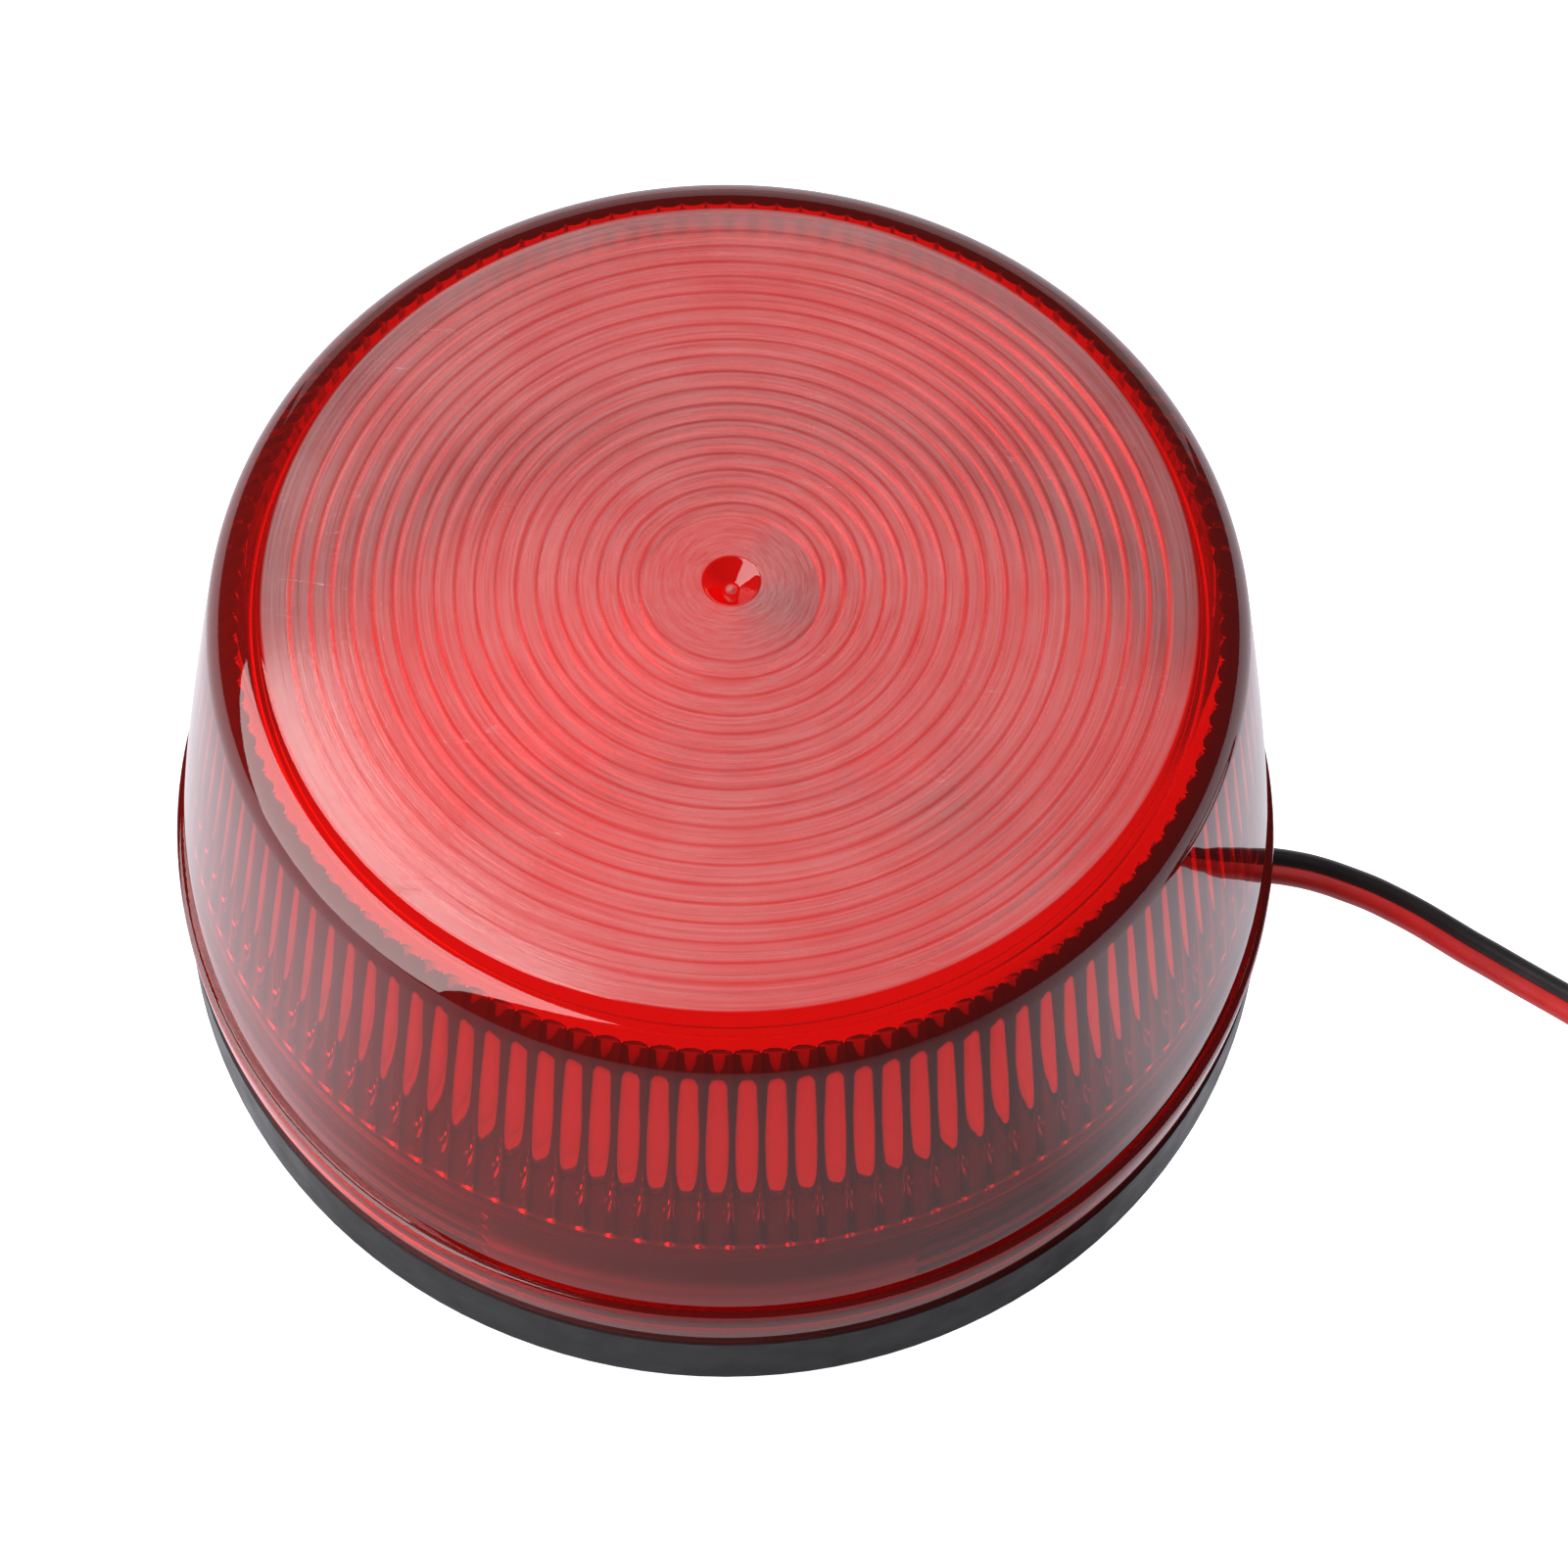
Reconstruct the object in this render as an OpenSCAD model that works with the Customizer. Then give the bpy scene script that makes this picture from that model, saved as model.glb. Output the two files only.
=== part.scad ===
// Round strobe beacon: a ribbed translucent dome that screws down on a shallow base.
// Millimetres. +Z points from the mounting face to the top; the origin is the centre of that face.

/* [Dome] */
// Outer diameter of the dome's rim
rim_d = 72; // [71.5:0.1:72.4]
// Height of the dome's top above the mounting face
height = 36.4; // [36:0.1:38]
// Diameter of the flat top
top_flat_d = 55.2; // [54.6:0.1:55.6]
// Radius of the rounded shoulder
shoulder_r = 3; // [2.6:0.1:3.4]
// How far the side wall bows outwards
wall_bow = 0.33; // [0:0.01:0.4]
// Thickness of the flat top
top_t = 2; // [1.8:0.1:2.4]
// Height of the step where the wall meets the rim
step_z = 10.4; // [10.2:0.1:10.8]
// Number of flutes inside the side wall
flute_count = 120; // [60:12:120]
// Depth of each flute
flute_depth = 0.3; // [0.2:0.05:0.5]
// Number of lens rings under the top
ring_count = 18; // [4:1:18]
// Depth of each lens ring
ring_depth = 0.15; // [0.1:0.05:0.4]

/* [Thread] */
// Pitch of the thread between the dome and the base
thread_pitch = 1.5; // [1.4:0.05:1.55]
// Turns of thread on the neck
neck_turns = 3; // [2:0.5:3]
// Number of threaded segments inside the dome
segment_count = 4; // [2:1:4]
// Angle covered by each segment
segment_angle = 45; // [30:5:60]
// Rows of ridge in each segment
segment_rows = 4; // [2:1:4]

/* [Base] */
// Diameter of the base at the mounting face
base_d = 73; // [72.8:0.1:74]
// Height of the flange that the dome closes on
flange_z = 5.7; // [5.6:0.05:5.75]
// Height of the top of the neck
neck_top = 15.5; // [15:0.1:15.6]
// Inside diameter of the neck
cup_d = 58; // [57.8:0.1:58.4]
// Thickness of the floor
floor_t = 2.2; // [2:0.1:2.2]
// Distance between the two mounting holes
mount_spacing = 48; // [46:0.5:48.5]
// Diameter of the mounting holes
mount_hole_d = 4; // [3.2:0.1:4.4]

/* [Electronics] */
// Thickness of the circuit board
board_t = 1.6; // [1.4:0.1:1.6]
// Outer diameter of the flash tube
tube_d = 4; // [3:0.5:4]
// Length of the flash tube's glass
tube_l = 24; // [20:1:24]

/* [Lead] */
// Diameter of one strand of the twin lead
strand_d = 1.3; // [1.1:0.05:1.3]

/* [Hidden] */
$fn = 96;

// Clearances
gap = 0.15;              // between the dome and the base
slip = 0.05;             // between small parts that sit in each other
over = 1;                // how far a cutter runs past a face

// Dome
rim_r = rim_d / 2;
top_flat_r = top_flat_d / 2;
rim_z = flange_z + gap;
wall_foot_r = rim_r - 0.92;
wall_foot_z = step_z + 0.3;
shoulder_end = 14.3;     // angle at which the shoulder runs into the wall
shoulder_c = [top_flat_r, height - shoulder_r];
wall_head = shoulder_c + shoulder_r * [cos(shoulder_end), sin(shoulder_end)];
bore_r = 32.9;           // inside the threaded part of the dome
bore_top = 15.2;
under_top = height - top_t;
flute_foot_z = 15.5;
flute_foot_r = 31.9;      // at the crests of the ribs between the flutes
flute_lean = 3.4 / 18.4; // inward lean of the flutes for each millimetre of height
flute_steps = 4;
dimple_d = 3.35;
dimple_depth = 0.9;
ring_start_r = 5.36;
ring_pitch = 1.18;
groove_in = 33.7;        // seal groove in the dome's rim
groove_out = 35.2;
groove_top = 7.05;
seal_z = flange_z + slip;

// Thread, in level steps that together climb by one pitch a turn
neck_r = 31.7;
neck_crest_r = 32.6;
dome_crest_r = 32.3;
root_half = 0.4;         // half the width of a ridge at its root
crest_half = 0.15;       // and at its crest
sink = 0.3;              // how far a ridge's root is sunk into the wall behind it
neck_thread_z = 9.4;     // height of the neck's ridge at angle 0
dome_thread_z = neck_thread_z - thread_pitch / 2;
neck_steps = 12;         // steps in a turn of the neck's thread
step_overlap = 1;        // angle by which a step runs into the next

// Base
base_r = base_d / 2;
flange_r = 36.1;
cup_r = cup_d / 2;
edge = 0.4;              // small edge breaks
core_in = 31.3;          // hollow behind the flange
core_out = 34.8;
core_top = 3.9;
core_count = 12;
core_rib = 3;            // angle that each rib of the hollow takes
board_z = 3.9;
board_top = board_z + board_t;
board_r = 28.2;
board_half = 19.5;
screw_at = [[22, 12], [-22, 12], [0, -16.5]];
shelf_z = 13.8;          // the reflector's underside
reflector_t = 1;
reflector_top = shelf_z + reflector_t;
lead_z = 3;

// Electronics
tube_y = -4.5;
tube_z = 18.3;
tube_post_x = 15.4;
trigger_x = 3;
trigger_z = reflector_top + 2.5;
coil_at = [-11, 4, board_top + 3.85];

// Route of the lead from inside the base to its coil: centre line points
ROUTE = [[28.2, 0, 3], [32, 0, 3], [36.5, 0, 3], [38.8, -0.2, 2.95], [40.5, -0.5, 2.8],
    [42.2, -0.9, 2.5], [43.9, -1.35, 2.15], [45.6, -1.95, 1.75], [47.3, -2.65, 1.35],
    [49, -3.5, 1], [50.6, -4.4, 0.8], [52.3, -5.35, 0.7], [53.9, -6.3, 0.65],
    [55.5, -7.25, 0.65], [57.1, -8.2, 0.65], [59.6, -9.75, 0.65], [62.1, -11.4, 0.65],
    [64.7, -13.1, 0.7], [67.2, -14.7, 0.75], [69.6, -16.2, 0.8], [72.2, -17.5, 0.85]];
coil_centre = [78.6, -3.2];
coil_z = 0.85;
coil_outer_r = 15.7;     // centre line radius where the lead joins the coil
coil_turns = 2;
coil_pitch = 2.7;
coil_start = -114;       // direction of the joint from the coil's centre
tie_angle = 60;
tail_run = 9;            // length of each split tail
tip_run = 5;             // length of each bare end

function at_angle(r, a) = [r * cos(a), r * sin(a)];
function arc(c, r, from, to, n) = [for (i = [0:n]) c + at_angle(r, from + (to - from) * i / n)];
function unit(v) = v / norm(v);
function flute_r(z) = flute_foot_r - (z - flute_foot_z) * flute_lean;

// A closed solid through a list of rings that all have the same number of points
module skin(rings) {
    n = len(rings[0]);
    m = len(rings);
    sides = [for (i = [0:m - 2], j = [0:n - 1])
        let (a = i * n + j, b = i * n + (j + 1) % n)
        each [[a, b, b + n], [a, b + n, a + n]]];
    first = [for (j = [1:n - 2]) [0, j + 1, j]];
    last = [for (j = [1:n - 2]) [(m - 1) * n, (m - 1) * n + j, (m - 1) * n + j + 1]];
    polyhedron(points = [for (ring = rings) each ring], faces = concat(first, sides, last));
}

function direction(path, i) =
    unit(path[min(i + 1, len(path) - 1)] - path[max(i - 1, 0)]);
function left_of(t) = norm([t.x, t.y]) < 0.1 ? [0, 1, 0] : unit([-t.y, t.x, 0]);

// A tube of a flat section, a list of [sideways, up] points, along a path
module tube(path, section) {
    skin([for (i = [0:len(path) - 1])
        let (t = direction(path, i), side = left_of(t), up = cross(t, side))
        [for (p = section) path[i] + p.x * side + p.y * up]]);
}

function octagon(w, h) = [for (i = [7:-1:0])
    let (a = 22.5 + 45 * i) [w / 2 * cos(a), h / 2 * sin(a)] / cos(22.5)];

// An upright rod, or a rod along X or Y, centred on a point
module rod_x(p, r, l) { translate(p) rotate([0, 90, 0]) cylinder(r = r, h = l, center = true); }
module rod_y(p, r, l) { translate(p) rotate([90, 0, 0]) cylinder(r = r, h = l, center = true); }
module block(p, size) { translate(p) cube(size, center = true); }

// A flat slot along X with round ends, w across and h high
module slot_x(x0, x1, w, h, z) {
    for (side = [-1, 1]) translate([x0, side * (w - h) / 2, z]) rotate([0, 90, 0])
        cylinder(d = h, h = x1 - x0);
    translate([x0, -(w - h) / 2, z - h / 2]) cube([x1 - x0, w - h, h]);
}

module dome_outside() {
    bow = [for (k = [1:6]) let (s = k / 6)
        wall_head + ([wall_foot_r, wall_foot_z] - wall_head) * s + [4 * wall_bow * s * (1 - s), 0]];
    rotate_extrude() polygon(concat([[0, rim_z], [0, height]],
        arc(shoulder_c, shoulder_r, 90, shoulder_end, 8), bow,
        [[wall_foot_r + 0.2, step_z], [rim_r - edge, step_z], [rim_r, step_z - edge],
        [rim_r, rim_z + edge / 2], [rim_r - edge / 2, rim_z]]));
}

module flute_cutter() {
    top_z = height + over;
    outline = [for (i = [0:flute_count * flute_steps - 1])
        let (a = 360 * i / (flute_count * flute_steps), k = (i % flute_steps) / flute_steps)
        at_angle(flute_foot_r + flute_depth * (1 - sin(180 * k)), a)];
    translate([0, 0, flute_foot_z])
        linear_extrude(height = top_z - flute_foot_z, slices = 1,
            scale = flute_r(top_z) / flute_foot_r)
        polygon(outline);
}

// Everything below the underside of the top, with the lens rings cut up into it
module below_top() {
    rings = [for (i = [0:ring_count - 1]) each [
        [ring_start_r + i * ring_pitch, under_top + ring_depth],
        [ring_start_r + (i + 1) * ring_pitch, under_top]]];
    rotate_extrude() polygon(concat([[0, 0], [0, under_top], [ring_start_r, under_top]], rings,
        [[rim_r, under_top], [rim_r, 0]]));
}

// One level step of a thread's ridge, from its root in the wall to its crest
module ridge_step(z, from, angle, root_r, crest_r) {
    rotate(from) translate([0, 0, z]) rotate_extrude(angle = angle)
        polygon([[root_r, -root_half], [crest_r, -crest_half], [crest_r, crest_half],
            [root_r, root_half]]);
}

module dome() color([0.8, 0.05, 0.04, 0.7]) {
    difference() {
        dome_outside();
        intersection() {
            flute_cutter();
            below_top();
        }
        rotate_extrude() polygon([[0, 0], [bore_r, 0], [bore_r, bore_top],
            [flute_foot_r + flute_depth + 0.1, flute_foot_z + 0.3], [0, flute_foot_z + 0.3]]);
        rotate_extrude() polygon([[groove_in, 0], [groove_out, 0], [groove_out, groove_top],
            [groove_in, groove_top]]);
        translate([0, 0, height - dimple_depth])
            cylinder(r1 = dimple_d / 6, r2 = dimple_d / 2 * 1.001, h = dimple_depth + 0.001);
    }
    for (i = [0:segment_count - 1], row = [0:segment_rows - 1]) let (share = (i + 0.5) / segment_count)
        ridge_step(dome_thread_z + thread_pitch * (row + share), 360 * share - segment_angle / 2,
            segment_angle, bore_r + sink, dome_crest_r);
}

module seal_ring() color("dimgray") rotate_extrude()
    polygon([[groove_in + gap, seal_z + 0.2], [groove_in + gap + 0.2, seal_z],
        [groove_out - gap - 0.2, seal_z], [groove_out - gap, seal_z + 0.2],
        [groove_out - gap, groove_top - gap], [groove_in + gap, groove_top - gap]]);

module base() color([0.13, 0.13, 0.14]) {
    difference() {
        union() {
            rotate_extrude() polygon([[0, 0], [base_r - edge, 0], [base_r, edge],
                [flange_r, flange_z], [neck_r, flange_z], [neck_r, neck_top - edge],
                [neck_r - edge, neck_top], [cup_r + edge, neck_top], [cup_r, neck_top - edge],
                [cup_r, floor_t], [0, floor_t]]);
            for (p = screw_at) translate([p.x, p.y, floor_t / 2])
                cylinder(d = 5.2, h = board_z - floor_t / 2);
            for (a = [60, 120, 240, 300]) rotate(a)
                translate([cup_r - 1.6, -0.8, floor_t / 2]) cube([1.8, 1.6, shelf_z - floor_t / 2]);
            for (i = [0:neck_turns * neck_steps - 1])
                ridge_step(neck_thread_z + thread_pitch * (i + 0.5) / neck_steps, 360 * i / neck_steps,
                    360 / neck_steps + step_overlap, neck_r - sink, neck_crest_r);
        }
        for (i = [0:core_count - 1])
            rotate(360 * (i - 0.5) / core_count + core_rib / 2)
            rotate_extrude(angle = 360 / core_count - core_rib)
            polygon([[core_in, -over], [core_out, -over], [core_out, core_top], [core_in, core_top]]);
        for (p = screw_at) translate([p.x, p.y, 0.8]) cylinder(d = 2.5, h = board_z);
        for (side = [-1, 1]) translate([0, side * mount_spacing / 2, -over])
            cylinder(d = mount_hole_d, h = floor_t + 2 * over);
        slot_x(core_out - over, base_r + over, 4.4, 2.8, lead_z);
        slot_x(cup_r - over, core_in + over, 2 * strand_d + 0.4, strand_d + 0.4, lead_z);
    }
}

module reflector() color("white") difference() {
    union() {
        translate([0, 0, shelf_z]) cylinder(r = cup_r - 0.3, h = reflector_t);
        translate([0, 0, shelf_z]) rotate_extrude()
            polygon([[cup_r - 1.4, 0], [cup_r - 0.3, 0], [cup_r - 0.3, 1.5], [cup_r - 0.9, 1.5]]);
    }
    for (side = [-1, 1]) translate([side * tube_post_x, tube_y, 0])
        cylinder(d = 1.4, h = height);
    for (y = [9, 15.2]) translate([trigger_x, y, 0]) cylinder(d = 1, h = height);
}

module circuit_board() color("peru") difference() {
    translate([0, 0, board_z]) intersection() {
        cylinder(r = board_r, h = board_t);
        translate([-board_r, -board_half, 0]) cube([2 * board_r, 2 * board_half, board_t]);
    }
    for (p = screw_at) translate([p.x, p.y, 0]) cylinder(d = 2.7, h = height);
    translate([25, -2.2, 0]) cube([10, 4.4, height]);
}

module board_screws() color("silver") for (p = screw_at) translate([p.x, p.y, 0]) difference() {
    union() {
        translate([0, 0, 1.2]) cylinder(d = 2.4, h = board_top - 1.2);
        translate([0, 0, board_top]) cylinder(d = 4.6, h = 1);
        translate([0, 0, board_top + 1]) cylinder(d1 = 4.6, d2 = 3.2, h = 0.6);
    }
    for (a = [45, 135]) translate([0, 0, board_top + 1.3]) rotate(a) cube([2.6, 0.5, 1], center = true);
}

module flash_tube() color([0.9, 0.95, 1, 0.5]) difference() {
    rod_x([0, tube_y, tube_z], tube_d / 2, tube_l);
    rod_x([0, tube_y, tube_z], tube_d / 2 - 0.5, tube_l - 3);
}

module tube_caps() color("gainsboro") for (side = [-1, 1]) {
    rod_x([side * (tube_l / 2 + 0.8), tube_y, tube_z], tube_d / 2 - 0.2, 1.6);
    rod_x([side * (tube_l / 2 + 1.9), tube_y, tube_z], tube_d / 2 - 0.8, 0.6);
}

module tube_leads() color("silver") for (side = [-1, 1]) {
    x0 = tube_l / 2 + 2.2;
    rod_x([side * (x0 + tube_post_x) / 2, tube_y, tube_z], 0.4, tube_post_x - x0);
    translate([side * tube_post_x, tube_y, tube_z]) sphere(r = 0.4, $fn = 24);
    translate([side * tube_post_x, tube_y, board_top]) cylinder(r = 0.4, h = tube_z - board_top);
}

module trigger_wire() color("silver") {
    wire_r = 0.2;
    loop_r = tube_d / 2 + slip + wire_r;
    for (x = [-8, -4, 0, 4, 8]) translate([x, tube_y, tube_z]) rotate([0, 90, 0])
        rotate_extrude() translate([loop_r, 0]) circle(r = wire_r, $fn = 24);
    rod_x([0, tube_y, tube_z + loop_r], wire_r, 16);
    lead_y = 8.3;
    rod_y([trigger_x, (tube_y + lead_y) / 2, tube_z + loop_r], wire_r, lead_y - tube_y);
    translate([trigger_x, lead_y, trigger_z]) cylinder(r = wire_r, h = tube_z + loop_r - trigger_z);
}

module trigger_core() color("gray") {
    rod_y([trigger_x, 12.3, trigger_z], 1, 7.4);
    for (y = [9, 13.2]) rod_y([trigger_x, y, trigger_z], 2.5, 0.8);
    for (y = [9, 15.2]) translate([trigger_x, y, board_top])
        cylinder(r = 0.3, h = trigger_z - board_top);
}

module trigger_winding() color("orange") difference() {
    rod_y([trigger_x, 11.1, trigger_z], 2.2, 3.4);
    rod_y([trigger_x, 11.1, trigger_z], 1, 5);
}

module transformer_core() color([0.25, 0.25, 0.27]) difference() {
    block(coil_at, [13, 13, 4]);
    for (side = [-1, 1]) block(coil_at + [0, side * 2.95, 0], [8.6, 2.7, 5]);
}

module transformer_bobbin() color([0.9, 0.85, 0.7]) difference() {
    union() {
        for (side = [-1, 1]) block(coil_at + [side * 3.85, 0, 0], [0.8, 8.2, 7.7]);
        block(coil_at, [7, 4.2, 5]);
    }
    block(coil_at, [10, 3.3, 4.1]);
}

module transformer_winding() color([0.95, 0.75, 0.2]) difference() {
    block(coil_at, [6.9, 7.8, 7.2]);
    block(coil_at, [8, 4.2, 5]);
}

module flash_capacitor() color([0.1, 0.1, 0.2]) {
    p = [11, -11.5, board_top + 4.1];
    difference() {
        rod_x(p, 4, 13);
        translate(p + [-5, 0, 0]) rotate([0, 90, 0]) rotate_extrude()
            translate([4.2, 0]) circle(r = 0.5, $fn = 24);
    }
    for (side = [-1, 1]) {
        translate([p.x - 7.5, p.y + side * 1.75, board_top]) cylinder(r = 0.3, h = 4.1);
        rod_x([p.x - 7, p.y + side * 1.75, p.z], 0.3, 1.2);
    }
}

module film_capacitor() color("gold") translate([-12, -13, board_top])
    difference() {
        translate([-3.75, -1.5, 0]) cube([7.5, 3, 6.5]);
        translate([-2.5, -2, -0.1]) cube([5, 4, 0.5]);
    }

module timing_capacitor() color([0.15, 0.15, 0.5]) translate([-20.5, -8, board_top]) {
    cylinder(d = 5, h = 6.4);
    translate([0, 0, 6.4]) cylinder(d1 = 5, d2 = 4.4, h = 0.4);
}

module switching_transistor() color([0.12, 0.12, 0.12]) {
    p = [12.5, 12.5, board_top];
    difference() {
        translate(p + [-5.5, -3.9, 0]) cube([11, 7.8, 2.8]);
        translate(p + [-2.6, 0, -over]) cylinder(d = 3.2, h = 5);
    }
    for (y = [-2.3, 0, 2.3]) translate(p + [5.5, y - 0.35, 0]) cube([1.4, 0.7, 0.5]);
}

module thyristor() color([0.12, 0.12, 0.12]) translate([-4, -8.5, board_top + 1.2]) {
    intersection() {
        cylinder(d = 4.7, h = 4.6);
        translate([-3, -1.2, 0]) cube([6, 4, 4.6]);
    }
    for (x = [-1.27, 0, 1.27]) translate([x, 0.2, -1.2]) cylinder(d = 0.5, h = 1.4);
}

// A part with a round body and two leads bent down to the board
module axial(p, body_d, body_l, span, along) {
    translate([p.x, p.y, board_top]) rotate(along) {
        rise = body_d / 2 + 0.3;
        rod_x([0, 0, rise], body_d / 2, body_l);
        rod_x([0, 0, rise], 0.3, span);
        for (side = [-1, 1]) translate([side * span / 2, 0, 0]) cylinder(r = 0.3, h = rise + 0.3);
    }
}

module rectifier_diodes() color([0.1, 0.1, 0.1]) for (y = [-2, 1.5, 5])
    axial([12, y], 2.6, 4.6, 8.4, 0);

module resistors() color([0.8, 0.7, 0.5]) for (p = [[-10, 12.5], [-10, 16.5], [0.5, 12.5], [0.5, 17.6]])
    axial(p, 2.3, 6, 8.6, 0);

module solder_joints() color("silver")
    for (p = [[tube_post_x, tube_y], [-tube_post_x, tube_y], [-16, 12.5], [-6, 12.5],
        [7.8, 1.5], [16.2, 1.5], [3.5, -13.25], [3.5, -9.75], [-15, -13], [-9, -13],
        [-20.5, -9.2], [-20.5, -6.8], [20.5, 4.5], [20.5, -4.5]])
    translate([p.x, p.y, board_z - 0.7]) cylinder(r1 = 0.4, r2 = 0.9, h = 0.7);

// One strand from its pad on the board, through the board's notch, to the twin lead
module inner_strand(side) {
    pad = 2.2;
    tube([[21.4, side * pad, board_top + 0.66], [22.6, side * pad, board_top + 0.9],
        [24, side * 2, board_top + 1.5], [25.3, side * 1.8, board_top + 1.5],
        [26.3, side * 1.5, board_top + 0.7], [26.7, side * 1.2, board_top - 0.6],
        [26.9, side * 0.9, board_z - 0.1], [27.3, side * 0.75, 3.3], [27.9, side * 0.68, lead_z]],
        octagon(strand_d - 0.1, strand_d - 0.1));
}

module inner_lead_red() color("red") inner_strand(-1);

module inner_lead_black() color([0.1, 0.1, 0.1]) inner_strand(1);

module strain_grommet() color([0.1, 0.1, 0.1]) difference() {
    union() {
        slot_x(core_out - 0.8, 36, 4.3, 2.7, lead_z);
        translate([core_out - 0.9, -2.7, lead_z - 1.7]) cube([0.8, 5.4, 2.5]);
    }
    slot_x(core_in, base_r + over, 2 * strand_d + 0.1, strand_d + 0.1, lead_z);
}

module lead() color([0.1, 0.1, 0.1]) tube(ROUTE, octagon(2 * strand_d, strand_d));

coil_inner_r = coil_outer_r - coil_turns * coil_pitch;

module lead_coil() color([0.2, 0.1, 0.1]) translate([coil_centre.x, coil_centre.y, 0])
    rotate_extrude() translate([coil_inner_r - strand_d, coil_z - strand_d / 2])
    square([coil_outer_r - coil_inner_r + 2 * strand_d, strand_d]);

module lead_tie() color("white") translate([coil_centre.x, coil_centre.y, 0]) rotate(tie_angle)
    difference() {
        low = coil_inner_r - strand_d - 0.25;
        high = coil_outer_r + strand_d + 0.25;
        translate([low, -1.2, 0]) cube([high - low, 2.4, coil_z + strand_d / 2 + 0.25]);
        translate([low + 0.2, -2, 0.2])
            cube([high - low - 0.4, 4, coil_z + strand_d / 2 - 0.15]);
    }

// A split tail leaves the end of the coil's inner turn and curls inwards
function tail_point(side, bend_r, run) =
    let (start = coil_start + 360 * coil_turns,
        foot = coil_centre + at_angle(coil_inner_r - side * strand_d / 2, start),
        centre = foot - at_angle(bend_r, start),
        p = centre + at_angle(bend_r, start + run / bend_r * 180 / PI))
    [p.x, p.y, coil_z];

function tail(side, bend_r, from, to) =
    [for (i = [0:5]) tail_point(side, bend_r, from + (to - from) * i / 5)];

red_bend = 8.5;
black_bend = 5.5;

module lead_tail_red() color("red")
    tube(tail(-1, red_bend, 0, tail_run), octagon(strand_d, strand_d));

module lead_tail_black() color([0.1, 0.1, 0.1])
    tube(tail(1, black_bend, 0, tail_run), octagon(strand_d, strand_d));

module lead_tips() color("silver") {
    tube(tail(-1, red_bend, tail_run, tail_run + tip_run), octagon(0.7, 0.7));
    tube(tail(1, black_bend, tail_run, tail_run + tip_run), octagon(0.7, 0.7));
}

base();
dome();
seal_ring();
reflector();
circuit_board();
board_screws();
flash_tube();
tube_caps();
tube_leads();
trigger_wire();
trigger_core();
trigger_winding();
transformer_core();
transformer_bobbin();
transformer_winding();
flash_capacitor();
film_capacitor();
timing_capacitor();
switching_transistor();
thyristor();
rectifier_diodes();
resistors();
solder_joints();
inner_lead_red();
inner_lead_black();
strain_grommet();
lead();
lead_coil();
lead_tie();
lead_tail_red();
lead_tail_black();
lead_tips();
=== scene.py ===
"""A round strobe alarm beacon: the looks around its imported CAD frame.

Lengths are in millimetres, and M turns them into metres."""
import math

import bpy
import numpy as np
from mathutils import Matrix, Vector


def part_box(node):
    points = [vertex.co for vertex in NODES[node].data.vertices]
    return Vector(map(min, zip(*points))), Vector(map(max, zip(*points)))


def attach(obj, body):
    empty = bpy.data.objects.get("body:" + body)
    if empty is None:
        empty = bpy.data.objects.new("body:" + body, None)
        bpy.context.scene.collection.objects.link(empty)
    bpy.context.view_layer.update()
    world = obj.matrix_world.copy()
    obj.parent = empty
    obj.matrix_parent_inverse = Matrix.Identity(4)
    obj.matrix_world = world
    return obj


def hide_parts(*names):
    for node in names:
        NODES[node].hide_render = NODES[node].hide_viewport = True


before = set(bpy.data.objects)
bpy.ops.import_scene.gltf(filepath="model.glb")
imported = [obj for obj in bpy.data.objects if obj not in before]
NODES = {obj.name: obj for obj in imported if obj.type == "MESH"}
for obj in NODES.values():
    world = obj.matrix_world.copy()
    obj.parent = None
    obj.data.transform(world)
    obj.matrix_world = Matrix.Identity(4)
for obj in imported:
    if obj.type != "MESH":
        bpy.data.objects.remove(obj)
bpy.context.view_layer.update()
M = 0.001

# ---------------------------------------------------------------- camera

SENSOR_MM = 36
LENS_MM = 67.894
# the model's front is turned this far from the camera's side
TURN = Matrix.Rotation(math.radians(2.0), 3, "Z")
CAMERA_AT = TURN @ Vector((0, -90.05, 182.45))
CAMERA_PITCH = 62.234
CAMERA_YAW = 2.329
CAMERA_ROLL = 2.984


def make_camera():
    """The photograph's point of view."""
    pitch, yaw, roll = (math.radians(a) for a in (CAMERA_PITCH, CAMERA_YAW, CAMERA_ROLL))
    ahead = Vector((math.sin(yaw) * math.cos(pitch), math.cos(yaw) * math.cos(pitch), -math.sin(pitch)))
    ahead = TURN @ ahead
    right = ahead.cross(Vector((0, 0, 1))).normalized()
    up = right.cross(ahead)
    tilted_right = math.cos(roll) * right + math.sin(roll) * up
    tilted_up = math.cos(roll) * up - math.sin(roll) * right
    data = bpy.data.cameras.new("camera")
    data.sensor_width = SENSOR_MM
    data.lens = LENS_MM
    data.clip_start = 0.005
    data.clip_end = 20
    camera = bpy.data.objects.new("camera", data)
    rotation = Matrix((tilted_right, tilted_up, -ahead)).transposed()
    camera.matrix_world = Matrix.Translation(CAMERA_AT * M) @ rotation.to_4x4()
    bpy.context.scene.collection.objects.link(camera)
    bpy.context.scene.camera = camera


make_camera()

# ---------------------------------------------------------------- mesh helpers


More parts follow.
